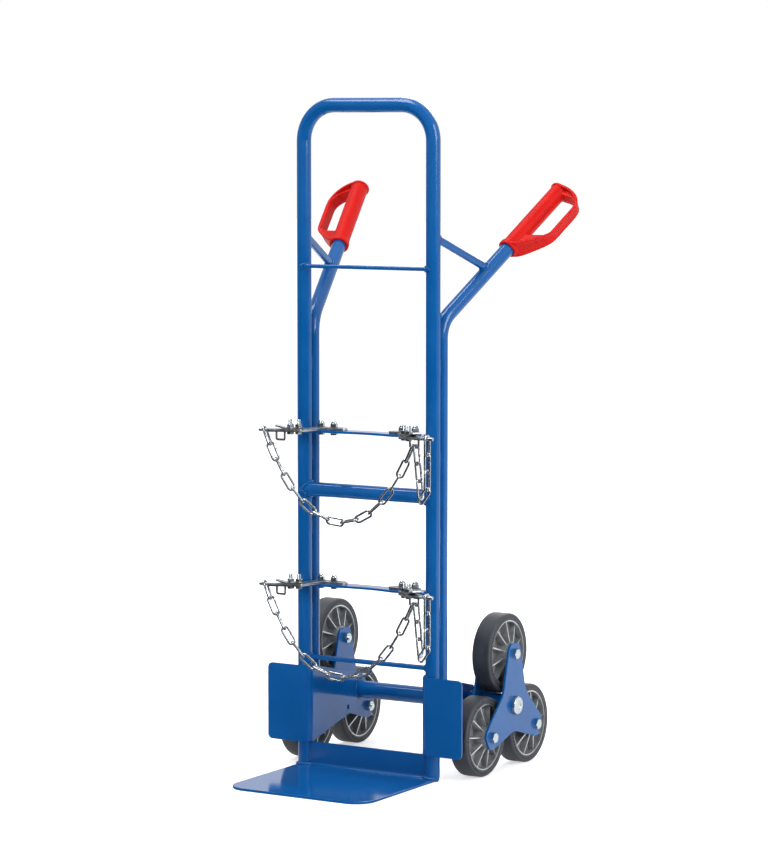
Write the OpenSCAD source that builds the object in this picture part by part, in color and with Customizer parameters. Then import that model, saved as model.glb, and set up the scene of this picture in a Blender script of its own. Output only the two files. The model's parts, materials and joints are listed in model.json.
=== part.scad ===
// Gas cylinder trolley with two three-wheel stair climbing stars.
// Millimetres. X is across the trolley, Y points to its back, Z is up.
// The origin is the centre of the toe plate's underside, on the floor.

/* [Frame] */
// Overall height of the frame
frame_h = 1344; // [1200:1:1450]
// Distance between the centres of the two uprights
upright_span = 298; // [270:1:350]
// Outside diameter of the frame tube
tube_d = 29; // [26:0.5:32]
// Wall of the frame tube
tube_wall = 2; // [1.5:0.1:3]
// Bend radius of the top bow, to the tube's centre
bow_r = 70; // [50:1:110]
// Height of the sloping cut at the back of each foot
heel_cut = 19; // [8:1:26]

/* [Cross members] */
// Diameter of the upper cross rod
upper_rod_d = 8; // [6:0.5:10]
// Height of the upper cross rod
upper_rod_z = 1011; // [950:1:1050]
// Height of the middle cross tube
middle_tube_z = 564; // [520:1:600]
// Diameter of the lower cross rod
lower_rod_d = 10; // [8:0.5:12]
// Height of the lower cross rod
lower_rod_z = 224; // [216:1:240]

/* [Handles] */
// Height where the lines of the two legs of the handle tube meet
handle_corner_z = 904; // [870:1:930]
// Bend radius of the handle tube, to its centre
handle_bend_r = 60; // [45:1:80]
// Rise of the handle for each unit of its length
handle_rise = 0.6; // [0.56:0.01:0.66]
// Outward turn of the handle, from straight back
handle_splay = 15.2; // [5:0.1:25]
// Height of the lower end of the handle tube
handle_foot_z = 70; // [60:1:120]
// Diameter of the brace between the upright and the handle
brace_d = 16; // [12:0.5:20]
// Height of the brace on the upright
brace_top_z = 1075; // [1060:1:1120]
// Distance of the brace along the handle, from its corner
brace_reach = 168; // [150:1:190]

/* [Grips] */
// Distance of the grip along the handle, from its corner
grip_start = 232; // [215:1:260]
// Length of the grip
grip_len = 192; // [184:1:204]
// Outside diameter of the grip
grip_d = 35.5; // [34:0.5:40]
// Depth of the tube in the grip
grip_bore = 172; // [140:1:174]
// Width of the knuckle guard
guard_w = 21; // [18:0.5:28]
// Reach of the guard from the axis of the grip
guard_reach = 64; // [60:1:74]
// Thickness of the guard
guard_t = 7; // [6:0.5:9]
// Turn of the guard about the grip
guard_roll = 20; // [0:0.5:30]
// Outside radius of the guard's lower corner
guard_low_r = 18; // [14:1:22]
// Outside radius of the guard's upper corner
guard_high_r = 34; // [26:1:38]
// Place of the lower corner along the grip
guard_low_at = 72; // [66:1:80]

/* [Toe plate] */
// Width of the toe plate
toe_w = 320; // [310:1:380]
// Depth of the toe plate, from the centre of the uprights
toe_l = 278; // [220:1:320]
// Thickness of the toe plate
toe_t = 5; // [4:0.5:8]
// Radius of the front corners
toe_corner_r = 44; // [20:1:70]
// Height of the upstand between the uprights
upstand_h = 52; // [40:1:60]
// Inside radius of the bend
toe_bend_r = 6; // [3:0.5:10]

/* [Axle brackets] */
// Thickness of the bracket plate
plate_t = 5; // [4:0.5:6]
// Height of the lower edge of the bracket
bracket_z = 52; // [46:1:60]
// Height of the bracket at the upright
bracket_h = 156; // [140:1:160]
// Reach of the front flange, from the centre of the upright
flange_reach = 77; // [60:1:90]
// Radius of the outer corners of the flange
flange_corner_r = 10; // [5:1:20]
// Height of the web at its back end
web_end_h = 62; // [54:1:80]
// Overhang of the web behind the axle
web_tail = 22; // [20:1:30]
// Width and height of the two holes in the web
web_slot = [8, 9];
// Distance of those holes in front of the axle
web_slot_y = 46; // [36:1:60]
// Distance of those holes above and below the axle
web_slot_z = 31; // [27:1:34]

/* [Axle] */
// Distance of the axle behind the uprights
axle_y = 179; // [176:1:210]
// Diameter of the axle
axle_d = 25; // [20:0.5:26]
// Outside diameter of the axle tube
axle_tube_d = 35; // [32:0.5:40]
// Diameter of the cap on the end of the axle
axle_cap_d = 36; // [34:0.5:40]
// Thickness of the cap
axle_cap_t = 9; // [7:0.5:12]

/* [Wheels] */
// Outside diameter of a wheel
wheel_d = 160; // [140:1:164]
// Width of the tyre
tyre_w = 40; // [32:1:46]
// Radial depth of the tyre
tyre_depth = 10.5; // [8:0.5:14]
// Radius of the shoulders of the tyre
tyre_shoulder_r = 5; // [3:0.5:6]
// Length of the wheel hub
hub_len = 60; // [52:1:66]
// Diameter of the wheel hub
hub_d = 46; // [40:1:54]
// Radial width of the outer ring of the rim
rim_ring = 6; // [4:0.5:8]
// Thickness of the web of the rim
rim_web_t = 7; // [5:0.5:12]
// Number of ribs on each side of the rim
rib_count = 10; // [8:1:12]
// Thickness of a rib
rib_t = 3.2; // [2.5:0.1:4]
// Outside diameter of the wheel bush
bush_d = 20; // [18:0.5:24]
// Diameter of the wheel bolt
wheel_bolt_d = 12; // [10:0.5:14]
// Distance across the flats of the bolt head
wheel_bolt_af = 19; // [17:0.5:22]

/* [Stars] */
// Distance of each wheel from the centre of its star
star_r = 104; // [98:1:112]
// Distance of the middle of the wheels outside the uprights
star_x = 51; // [50:1:60]
// Thickness of the star plates
star_t = 5; // [4:0.5:6]
// Width of an arm of the star at its wheel bolt
star_arm_w = 50; // [44:1:54]
// Flare of each side of an arm towards the hub
star_flare = 14; // [8:1:16]
// Distance of the flat end of an arm from its wheel bolt
star_end = 21.5; // [20:0.5:24]
// Radius of the hollow between two arms
star_hollow_r = 45; // [35:1:55]
// Outside diameter of the hub of the star
star_hub_d = 42; // [38:1:48]
// Outside diameter of the bushes in the hub of the star
star_bush_d = 32; // [30:0.5:34]
// Length of each of those bushes
star_bush_len = 20; // [15:1:28]

/* [Cylinder rests] */
// Height of the underside of the upper rest
upper_rest_z = 680; // [650:1:700]
// Height of the underside of the lower rest
lower_rest_z = 371; // [340:1:400]
// Thickness of the rest
rest_t = 5; // [4:0.5:8]
// Depth of the rest at its ends
rest_w = 40; // [34:1:50]
// Depth of the hollow in the front edge
rest_hollow = 8; // [4:0.5:12]
// Radius of that hollow
rest_hollow_r = 260; // [150:5:400]

/* [Chain arms] */
// Thickness of the arm
arm_t = 5; // [4:0.5:6]
// Width of the arm
arm_w = 24; // [22:0.5:28]
// Inner end of the arm, from the middle of the trolley
arm_inner_x = 62; // [55:1:66]
// Places of the two bolts on the rest
rest_bolt_x = [79, 109];
// Where the arm turns outwards
arm_elbow = [122, -64];
// Outer end of the arm
arm_tip = [168, -87];
// Diameter of the chain pin
pin_d = 7; // [6:0.5:8]
// Length of the chain pin from the outer end of the arm
pin_len = 32; // [30:1:40]
// Place of the chain along the pin
pin_chain = 19; // [18:0.5:22]
// Diameter of the staple under the arm
staple_d = 4.5; // [4:0.1:5.5]
// Width of the staple
staple_w = 24; // [23:0.5:28]
// Drop of the staple below the arm
staple_drop = 16; // [14:0.5:22]
// Place of the staple along the arm, from its turn
staple_at = 36; // [34:0.5:40]
// Thickness of the clamp on the arm
clamp_t = 3; // [2:0.5:4]
// Width of the clamp
clamp_w = 20; // [17:0.5:22]
// Length of the flat part of the clamp
clamp_flat = 34; // [33:1:40]
// Length of the raised lip of the clamp
clamp_lip = 22; // [14:1:26]
// Slope of that lip
clamp_slope = 16; // [8:1:24]
// Spacing of the bolts in the clamp
clamp_bolt_gap = 16.5; // [16:0.5:18]

/* [Fasteners] */
// Diameter of the small bolts
bolt_d = 8; // [6:0.5:8]
// Distance across the flats of their heads and nuts
bolt_af = 13; // [11:0.5:13]
// Height of their heads
bolt_head_h = 5.3; // [4:0.1:6]
// Height of the plain nuts
nut_h = 6.5; // [5:0.1:7]
// Height of the hexagon of the cap nuts
cap_hex_h = 8; // [6:0.5:9]
// Thread showing past the plain nuts
thread_end = 10; // [4:1:14]

/* [Chain] */
// Diameter of the chain wire
wire_d = 4.5; // [4:0.1:5]
// Straight length in a link
link_straight = 25; // [22:0.5:28]
// Clear width inside a link
link_inner = 9; // [8.6:0.1:11]
// Number of links in the long run, an odd number
run_links = 15; // [13:2:19]
// Turn of the links of the long run, one way at the pin's side and the other way at the staple's
run_twist = 26; // [0:1:30]

/* [Fits] */
// Gap left at welded and seated round faces
weld_gap = 0.2; // [0.1:0.05:0.3]
// Gap on the radius of a running fit
run_gap = 0.06; // [0.04:0.01:0.1]
// Gap between faces that turn past each other
side_gap = 0.3; // [0.2:0.05:0.5]
// Gap on the radius of a bolt in its hole
bolt_gap = 0.2; // [0.1:0.05:0.4]

/* [Hidden] */
$fn = 48;

paint_blue = "#1f61ab";
grip_red = "#e0211c";
zinc = "#c3c7c9";
rubber_grey = "#4a4b4e";
cast_grey = "#9fa3a5";
bronze = "#b08d57";

tube_r = tube_d / 2;
upright_x = upright_span / 2;
arm_z = [upper_rest_z + rest_t, lower_rest_z + rest_t];
axle_z = wheel_d / 2 + star_r / 2;
axle_r = axle_d / 2;

// The wheels turn between the two plates of a star
star_mid_x = upright_x + star_x;
star_gap = hub_len + 2 * side_gap;
star_inner_x = star_mid_x - star_gap / 2 - star_t;
star_outer_x = star_mid_x + star_gap / 2;
axle_tube_half = star_inner_x - 2 * side_gap;
wheel_head_h = 0.4 * wheel_bolt_af;
wheel_nut_h = 0.5 * wheel_bolt_af;
wheel_angles = [90, 210, 330];

// The web of a bracket lies against the inner side of the upright
bend_in_r = tube_r + weld_gap;
bend_out_r = bend_in_r + plate_t;
web_end_y = axle_y + web_tail;
web_corner = web_end_h / 5;

// The handle bends between two straight legs
handle_y = tube_d + weld_gap;
handle_lean = acos(handle_rise);
handle_tangent = handle_bend_r * tan(handle_lean / 2);
handle_turn = 90 - handle_splay;
handle_end = grip_start + grip_bore - 1;

// The chain hangs on the pin at one side and on the staple at the other
wire_r = wire_d / 2;
link_r = link_inner / 2 + wire_r;
link_half = link_straight / 2 + link_r;
link_slack = link_inner / 2 - wire_r - side_gap;
hang_pin = pin_d / 2 + wire_r + side_gap;
hang_staple = staple_d / 2 + wire_r + side_gap;
leg_angle = atan2(arm_tip[1] - arm_elbow[1], arm_tip[0] - arm_elbow[0]);
staple_xy = arm_elbow + staple_at * [cos(leg_angle), sin(leg_angle)];
staple_share = staple_w / 2 - staple_d - wire_r - 3 * side_gap;
pin_at = [arm_tip[0] + pin_chain, arm_tip[1], arm_t / 2];
staple_at_z = -staple_drop;
tail_links = 7;
chain_ease = 1.003;

// Helpers for round and hexagonal stock

module along_x(h, d) {
  rotate([0, 90, 0]) cylinder(h = h, d = d, center = true);
}

module pipe(h, d, wall) {
  difference() {
    cylinder(h = h, d = d);
    translate([0, 0, -1]) cylinder(h = h + 2, d = d - 2 * wall);
  }
}

module hexagon(af, h) {
  cylinder(h = h, d = af / cos(30), $fn = 6);
}

module rod_between(a, b, d) {
  v = b - a;
  translate(a) rotate([0, acos(v[2] / norm(v)), atan2(v[1], v[0])]) cylinder(h = norm(v), d = d);
}

module both_sides() {
  children();
  mirror([1, 0, 0]) children();
}

module on_left() {
  mirror([1, 0, 0]) children();
}

// The frame's own plane is set back from the origin by half the toe plate
module on_frame() {
  translate([0, toe_l / 2, 0]) children();
}

module uprights_space() {
  both_sides() translate([upright_x, 0, -1]) cylinder(h = frame_h, r = tube_r + weld_gap);
}

// Main frame: one tube bent into a bow

module bow(d) {
  straight_top = frame_h - tube_r - bow_r;
  both_sides() {
    translate([upright_x, 0, 0]) cylinder(h = straight_top, d = d);
    translate([upright_x - bow_r, 0, straight_top]) rotate([90, 0, 0])
      rotate_extrude(angle = 90) translate([bow_r, 0]) circle(d = d);
  }
  translate([0, 0, frame_h - tube_r]) along_x(upright_span - 2 * bow_r, d);
}

module frame_tube() {
  heel_run = tube_r + 2;
  color(paint_blue) difference() {
    bow(tube_d);
    bow(tube_d - 2 * tube_wall);
    both_sides() translate([upright_x, 0, -1]) cylinder(h = 2, d = tube_d - 2 * tube_wall);
    translate([0, tube_r - heel_run, 0]) rotate([atan(heel_cut / heel_run), 0, 0])
      translate([-upright_span, 0, -frame_h / 4]) cube([2 * upright_span, 4 * tube_d, frame_h / 4]);
  }
}

module between_uprights(y, z, d, wall) {
  color(paint_blue) difference() {
    translate([0, y, z]) along_x(upright_span, d);
    if (wall > 0) translate([0, y, z]) along_x(upright_span + 2, d - 2 * wall);
    uprights_space();
  }
}

module upper_cross_rod() {
  between_uprights(upper_rod_d / 2 - tube_r, upper_rod_z, upper_rod_d, 0);
}

module middle_cross_tube() {
  between_uprights(0, middle_tube_z, tube_d, tube_wall);
}

module lower_cross_rod() {
  between_uprights(0, lower_rod_z, lower_rod_d, 0);
}

// Handles: a tube behind each upright, leaning back and out, with a brace

module on_handle() {
  translate([upright_x, handle_y, handle_corner_z]) rotate([0, 0, handle_turn])
    rotate([0, handle_lean, 0]) children();
}

function handle_point(s) = [upright_x, handle_y, handle_corner_z]
  + s * [sin(handle_lean) * sin(handle_splay), sin(handle_lean) * cos(handle_splay), cos(handle_lean)];

module handle_bend() {
  difference() {
    mirror([1, 0, 0]) rotate([90, 0, 0]) rotate_extrude(angle = 90) translate([handle_bend_r, 0]) difference() {
      circle(d = tube_d);
      circle(d = tube_d - 2 * tube_wall);
    }
    rotate([0, handle_lean, 0]) translate([-2, -2, 0] * handle_bend_r) cube(4 * handle_bend_r);
  }
}

module handle_tube() {
  leg = handle_corner_z - handle_tangent - handle_foot_z;
  color(paint_blue) translate([upright_x, handle_y, handle_foot_z + leg]) rotate([0, 0, handle_turn])
    translate([handle_bend_r, 0, 0]) {
      translate([-handle_bend_r, 0, -leg]) pipe(leg, tube_d, tube_wall);
      handle_bend();
      rotate([0, handle_lean, 0]) translate([-handle_bend_r, 0, 0])
        pipe(handle_end - handle_tangent, tube_d, tube_wall);
    }
}

module handle_brace() {
  color(paint_blue) difference() {
    rod_between([upright_x, 0, brace_top_z], handle_point(brace_reach), brace_d);
    uprights_space();
    on_handle() cylinder(h = grip_start, r = tube_r + weld_gap);
  }
}

// Grips: a sleeve with a closed end and a grooved knuckle guard

module guard_outer(inset) {
  end_r = grip_d / 4;
  hull() {
    translate([end_r, -end_r]) circle(r = end_r - inset);
    translate([guard_low_at, guard_low_r - guard_reach]) circle(r = guard_low_r - inset);
    translate([grip_len - 8 - guard_high_r, guard_high_r - guard_reach]) circle(r = guard_high_r - inset);
    translate([grip_len - end_r, -end_r]) circle(r = end_r - inset);
  }
}

// The opening begins inside the sleeve, so that the sleeve itself is its near edge
module guard_inner() {
  near = grip_d / 4;
  corner_r = guard_t / 2;
  low_r = guard_low_r - corner_r;
  high_r = guard_high_r - guard_t - corner_r;
  far = guard_t - guard_reach;
  hull() {
    translate([guard_low_at * 0.62, -near]) circle(r = corner_r);
    translate([guard_low_at, far + low_r]) circle(r = low_r);
    translate([grip_len - 18 - high_r, far + high_r]) circle(r = high_r);
    translate([grip_len - 18 - corner_r, -near]) circle(r = corner_r);
  }
}

module guard() {
  rim = guard_w / 7;
  rotate([0, -90, 0]) difference() {
    linear_extrude(guard_w, center = true) difference() {
      guard_outer(0, $fn = 48);
      guard_inner($fn = 40);
    }
    linear_extrude(guard_w - 2 * rim, center = true) difference() {
      guard_outer(-1, $fn = 48);
      guard_outer(guard_t / 6, $fn = 48);
    }
  }
}

module grip() {
  rim_t = 5;
  color(grip_red) on_handle() translate([0, 0, grip_start]) rotate([0, 0, guard_roll]) difference() {
    union() {
      cylinder(h = grip_len, d = grip_d);
      cylinder(h = 2 * rim_t, d = grip_d + rim_t);
      translate([0, 0, grip_len - rim_t]) cylinder(h = rim_t, d = grip_d + rim_t);
      guard();
    }
    translate([0, 0, -1]) cylinder(h = grip_bore + 1, r = tube_r + weld_gap);
  }
}

// Toe plate: folded up between the uprights, which stand in notches in its back edge

module toe_outline() {
  r = toe_corner_r;
  translate([-toe_w / 2, r - toe_l]) square([toe_w, toe_l - r]);
  translate([r - toe_w / 2, -toe_l]) square([toe_w - 2 * r, toe_l]);
  for (side = [-1, 1]) translate([side * (toe_w / 2 - r), r - toe_l]) circle(r = r);
}

module toe_plate() {
  inner_w = upright_span - tube_d - 2 * weld_gap;
  fold_r = toe_bend_r + toe_t;
  color(paint_blue) difference() {
    union() {
      linear_extrude(toe_t) toe_outline();
      translate([-upright_x, -toe_t, 0]) cube([upright_span, toe_t, upstand_h]);
      difference() {
        translate([-inner_w / 2, -fold_r, toe_t]) cube([inner_w, toe_bend_r + 0.1, toe_bend_r]);
        translate([0, -fold_r, fold_r]) along_x(upright_span, 2 * toe_bend_r);
      }
    }
    difference() {
      translate([-inner_w / 2, -fold_r, -1]) cube([inner_w, fold_r + 1, fold_r + 1]);
      translate([0, -fold_r, fold_r]) along_x(upright_span, 2 * fold_r);
    }
    uprights_space();
  }
}

// Axle brackets: a plate with a front flange, folded round the upright to a web

module flange_outline() {
  r = flange_corner_r;
  square([flange_reach - r, bracket_h]);
  translate([0, r]) square([flange_reach, bracket_h - 2 * r]);
  for (z = [r, bracket_h - r]) translate([flange_reach - r, z]) circle(r = r);
}

module web_outline() {
  z0 = axle_z - web_end_h / 2;
  z1 = axle_z + web_end_h / 2;
  polygon([
    [0, bracket_z], [web_end_y - web_corner, z0], [web_end_y, z0 + web_corner],
    [web_end_y, z1 - web_corner], [web_end_y - web_corner, z1], [0, bracket_z + bracket_h]
  ]);
}

module axle_bracket() {
  color(paint_blue) difference() {
    union() {
      translate([upright_x, -bend_in_r, bracket_z]) rotate([90, 0, 0])
        linear_extrude(plate_t) flange_outline();
      translate([upright_x, 0, bracket_z]) linear_extrude(bracket_h) intersection() {
        difference() {
          circle(r = bend_out_r);
          circle(r = bend_in_r);
        }
        translate([-2 * bend_out_r, -2 * bend_out_r]) square(2 * bend_out_r);
      }
      translate([upright_x - bend_out_r, 0, 0]) rotate([90, 0, 90])
        linear_extrude(plate_t) web_outline();
    }
    translate([0, axle_y, axle_z]) along_x(2 * upright_span, axle_tube_d + 2 * weld_gap);
    for (side = [-1, 1])
      translate([upright_x - bend_out_r, axle_y - web_slot_y, axle_z + side * web_slot_z])
        cube([4 * plate_t, web_slot[0], web_slot[1]], center = true);
  }
}

// Axle, fixed in its tube, with a cap on each end

module axle_tube() {
  color(paint_blue) translate([0, axle_y, axle_z]) difference() {
    along_x(2 * axle_tube_half, axle_tube_d);
    along_x(2 * axle_tube_half + 2, axle_d + 2 * weld_gap);
  }
}

axle_half = star_outer_x + star_t + 2 * side_gap + 0.6 * axle_cap_t;

module axle() {
  color(zinc) translate([0, axle_y, axle_z]) along_x(2 * axle_half, axle_d);
}

module axle_caps() {
  cap_x = star_outer_x + star_t + 2 * side_gap;
  bevel = axle_cap_t / 5;
  color(zinc) both_sides() translate([cap_x, axle_y, axle_z]) rotate([0, 90, 0]) difference() {
    union() {
      cylinder(h = axle_cap_t - bevel, d = axle_cap_d);
      translate([0, 0, axle_cap_t - bevel])
        cylinder(h = bevel, d1 = axle_cap_d, d2 = axle_cap_d - 2 * bevel);
    }
    translate([0, 0, -1]) cylinder(h = axle_half - cap_x + 1 + weld_gap, r = axle_r + weld_gap);
    translate([0, 0, axle_cap_t - bevel / 2]) cylinder(h = axle_cap_t, d = axle_cap_d / 2);
  }
}

// Stars: two three-armed plates on a hub with bushes

module on_axle(x) {
  translate([x, axle_y, axle_z]) rotate([90, 0, 90]) children();
}

function turned(p, a) = [p[0] * cos(a) - p[1] * sin(a), p[0] * sin(a) + p[1] * cos(a)];

// The sides of the arms bite a little into their end circles and into the hollows, so that no faces are tangent
module star_outline() {
  wide = star_arm_w / 2;
  bite = 0.05;
  lean = [sin(star_flare), cos(star_flare)];
  hollow_at = (star_r * lean[0] + wide + star_hollow_r - 2 * bite) / sin(60 + star_flare);
  shoulder = [star_r, 0] + (wide - bite) * lean;
  hollow = hollow_at * [cos(60), sin(60)];
  side = hollow - (star_hollow_r - bite) * lean;
  next_side = turned([side[0], -side[1]], 120);
  difference() {
    union() {
      polygon([for (a = wheel_angles) for (p = [[shoulder[0], -shoulder[1]], shoulder, side, hollow, next_side])
        turned(p, a)]);
      for (a = wheel_angles) translate(turned([star_r, 0], a)) circle(r = wide);
    }
    for (a = wheel_angles) {
      translate(turned(hollow, a)) circle(r = star_hollow_r);
      rotate(a) translate([star_r + star_end, -wide - 1]) square(2 * wide + 2);
    }
  }
}

module star_plate() {
  difference() {
    linear_extrude(star_t) star_outline();
    translate([0, 0, -1]) cylinder(h = star_t + 2, r = axle_r + bolt_gap);
    for (a = wheel_angles) rotate(a) translate([star_r, 0, -1])
      cylinder(h = star_t + 2, r = wheel_bolt_d / 2 + bolt_gap);
  }
}

module star_outer_plate() {
  color(paint_blue) on_axle(star_outer_x) star_plate();
}

module star_inner_plate() {
  color(paint_blue) on_axle(star_inner_x) star_plate();
}

module star_hub() {
  color(paint_blue) on_axle(star_mid_x - star_gap / 2)
    pipe(star_gap, star_hub_d, (star_hub_d - star_bush_d) / 2 - weld_gap);
}

module star_bushes() {
  wall = star_bush_d / 2 - axle_r - run_gap;
  color(bronze) {
    on_axle(star_mid_x - star_gap / 2) pipe(star_bush_len, star_bush_d, wall);
    on_axle(star_mid_x + star_gap / 2 - star_bush_len) pipe(star_bush_len, star_bush_d, wall);
  }
}

module wheel_bolt() {
  shank = star_gap + 2 * star_t;
  cylinder(h = shank + wheel_nut_h + 3, d = wheel_bolt_d);
  translate([0, 0, -wheel_head_h]) intersection() {
    hexagon(wheel_bolt_af, wheel_head_h);
    cylinder(h = wheel_head_h, d1 = wheel_bolt_af, d2 = wheel_bolt_af + 2 * wheel_head_h);
  }
}

module wheel_nut() {
  difference() {
    hexagon(wheel_bolt_af, wheel_nut_h);
    translate([0, 0, -1]) cylinder(h = wheel_nut_h + 2, r = wheel_bolt_d / 2 + bolt_gap / 2);
  }
}

module wheel_bolts() {
  color(zinc) for (a = wheel_angles) {
    on_axle(star_outer_x + star_t) rotate(a) translate([star_r, 0, 0]) mirror([0, 0, 1]) wheel_bolt();
    on_axle(star_inner_x) rotate(a) translate([star_r, 0, 0]) mirror([0, 0, 1]) wheel_nut();
  }
}

// Wheels: a rubber tyre on a ribbed rim that runs on a bush

module on_wheel(a) {
  on_axle(star_mid_x) rotate(a) translate([star_r, 0, 0]) children();
}

rim_r = wheel_d / 2 - tyre_depth;

module tyre_profile() {
  r = min(tyre_shoulder_r, (tyre_depth - side_gap) / 2);
  outer = wheel_d / 2;
  inner = rim_r + side_gap;
  translate([inner, -tyre_w / 2]) square([outer - r - inner, tyre_w]);
  translate([inner, r - tyre_w / 2]) square([outer - inner, tyre_w - 2 * r]);
  for (side = [-1, 1]) translate([outer - r, side * (tyre_w / 2 - r)]) circle(r = r);
}

module tyre(a) {
  color(rubber_grey) on_wheel(a) rotate_extrude() tyre_profile();
}

module rim_profile() {
  bore = bush_d / 2 + run_gap;
  ring_w = tyre_w - 2;
  translate([bore, -hub_len / 2]) square([hub_d / 2 - bore, hub_len]);
  translate([bore, -rim_web_t / 2]) square([rim_r - bore, rim_web_t]);
  translate([rim_r - rim_ring, -ring_w / 2]) square([rim_ring, ring_w]);
}

module rib() {
  inner = hub_d / 2 - 1;
  outer = rim_r - rim_ring + 1;
  low = tyre_w * 0.36;
  high = hub_len * 0.4;
  rotate([90, 0, 0]) linear_extrude(rib_t, center = true)
    polygon([[inner, -high], [outer, -low], [outer, low], [inner, high]]);
}

module rim(a) {
  color(cast_grey) on_wheel(a) {
    rotate_extrude() rim_profile();
    for (i = [0 : rib_count - 1]) rotate(i * 360 / rib_count) rib();
  }
}

module bush(a) {
  color(bronze) on_wheel(a) translate([0, 0, -hub_len / 2])
    pipe(hub_len, bush_d, bush_d / 2 - wheel_bolt_d / 2 - run_gap);
}

// Cylinder rests: flat bars with a hollowed front edge

module rest(z) {
  color(paint_blue) difference() {
    translate([0, 0, z]) linear_extrude(rest_t) difference() {
      square([upright_span, rest_w], center = true);
      translate([0, rest_hollow - rest_w / 2 - rest_hollow_r]) circle(r = rest_hollow_r, $fn = 180);
    }
    uprights_space();
    both_sides() translate([upright_x, handle_y, z - 1]) cylinder(h = rest_t + 2, r = tube_r + weld_gap);
    both_sides() for (x = rest_bolt_x) translate([x, 0, z - 1])
      cylinder(h = rest_t + 2, r = bolt_d / 2 + bolt_gap);
  }
}

// Chain arms: cranked straps with a chain pin and a staple

module strap(a, b) {
  translate(a) rotate(atan2(b[1] - a[1], b[0] - a[0])) translate([0, -arm_w / 2]) square([norm(b - a), arm_w]);
  translate(a) circle(d = arm_w);
  translate(b) circle(d = arm_w);
}

function clamp_bolt_xy(i) = arm_elbow + i * clamp_bolt_gap * [cos(leg_angle), sin(leg_angle)];

module staple() {
  bend = 0.7 * staple_d;
  half = (staple_w - staple_d) / 2;
  translate([staple_xy[0], staple_xy[1], 0]) both_sides() {
    translate([half, 0, bend - staple_drop]) cylinder(h = staple_drop - bend + arm_t / 2, d = staple_d);
    translate([half - bend, 0, bend - staple_drop]) rotate([90, 0, 0]) rotate([0, 0, -90])
      rotate_extrude(angle = 90) translate([bend, 0]) circle(d = staple_d);
    translate([0, 0, -staple_drop]) rotate([0, 90, 0]) cylinder(h = half - bend, d = staple_d);
  }
}

module arm(z) {
  color(zinc) translate([0, 0, z]) difference() {
    union() {
      linear_extrude(arm_t) {
        strap([arm_inner_x, 0], [rest_bolt_x[1], 0]);
        strap([rest_bolt_x[1], 0], arm_elbow);
        strap(arm_elbow, arm_tip);
      }
      translate([arm_tip[0], arm_tip[1], arm_t / 2]) rotate([0, 90, 0]) cylinder(h = pin_len, d = pin_d);
      staple();
    }
    for (x = rest_bolt_x) translate([x, 0, -1]) cylinder(h = arm_t + 2, r = bolt_d / 2 + bolt_gap);
    for (i = [0, 1]) translate([clamp_bolt_xy(i)[0], clamp_bolt_xy(i)[1], -1])
      cylinder(h = arm_t + 2, r = bolt_d / 2 + bolt_gap);
  }
}

// Clamps: strips on the arms, each with a raised lip

module clamp(z) {
  start = bolt_af * 0.7;
  translate([arm_elbow[0], arm_elbow[1], z + arm_t]) rotate(leg_angle) difference() {
    translate([-start, -clamp_w / 2, 0]) {
      cube([clamp_flat, clamp_w, clamp_t]);
      translate([clamp_flat, 0, 0]) rotate([0, -clamp_slope, 0]) cube([clamp_lip, clamp_w, clamp_t]);
    }
    for (i = [0, 1]) translate([i * clamp_bolt_gap, 0, -1]) cylinder(h = clamp_t + 2, r = bolt_d / 2 + bolt_gap);
  }
}

module clamps(z) {
  color(zinc) both_sides() clamp(z);
}

// Fasteners of the rests, arms and clamps

module bolt(length) {
  translate([0, 0, -bolt_head_h]) hexagon(bolt_af, bolt_head_h);
  cylinder(h = length, d = bolt_d);
}

module plain_nut() {
  difference() {
    hexagon(bolt_af, nut_h);
    translate([0, 0, -1]) cylinder(h = nut_h + 2, r = bolt_d / 2 + bolt_gap / 2);
  }
}

module cap_nut() {
  dome_d = bolt_af * 0.92;
  difference() {
    union() {
      hexagon(bolt_af, cap_hex_h);
      translate([0, 0, cap_hex_h]) intersection() {
        sphere(d = dome_d);
        cylinder(h = dome_d, d = 2 * dome_d);
      }
    }
    translate([0, 0, -1]) cylinder(h = cap_hex_h + 1, r = bolt_d / 2 + bolt_gap / 2);
  }
}

module rest_bolts() {
  color(zinc) both_sides() for (z = arm_z) for (x = rest_bolt_x) {
    translate([x, 0, z - rest_t]) bolt(rest_t + arm_t + cap_hex_h - 1);
    translate([x, 0, z + arm_t]) cap_nut();
  }
}

module clamp_bolts() {
  stack = arm_t + clamp_t;
  color(zinc) both_sides() for (z = arm_z) for (i = [0, 1]) {
    translate([clamp_bolt_xy(i)[0], clamp_bolt_xy(i)[1], z]) {
      bolt(stack + nut_h + thread_end);
      translate([0, 0, stack]) plain_nut();
    }
  }
}

// Chains: long links that hang in each other, alternately edge on and flat on

function sinh(x) = (exp(x) - exp(-x)) / 2;
function cosh(x) = (exp(x) + exp(-x)) / 2;
function asinh(x) = ln(x + sqrt(x * x + 1));
function total(v, n) = n <= 0 ? 0 : v[n - 1] + total(v, n - 1);

// Sag of a hanging chain: sinh(b) / b equals the given ratio
function sag(ratio, lo = 0.01, hi = 8, n = 40) =
  n == 0 ? (lo + hi) / 2 :
  let (b = (lo + hi) / 2) sinh(b) / b < ratio ? sag(ratio, b, hi, n - 1) : sag(ratio, lo, b, n - 1);

// Point of a hanging chain at length s from its start, for a run h across and v up
function hanging(h, v, len, s) =
  let (
    a = h / (2 * sag(sqrt(len * len - v * v) / h)),
    x0 = h / 2 - a * ln((1 + v / len) / (1 - v / len)) / 2,
    x = x0 + a * asinh((s - a * sinh(x0 / a)) / a)
  ) [x, a * (cosh((x - x0) / a) - cosh(x0 / a))];

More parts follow.
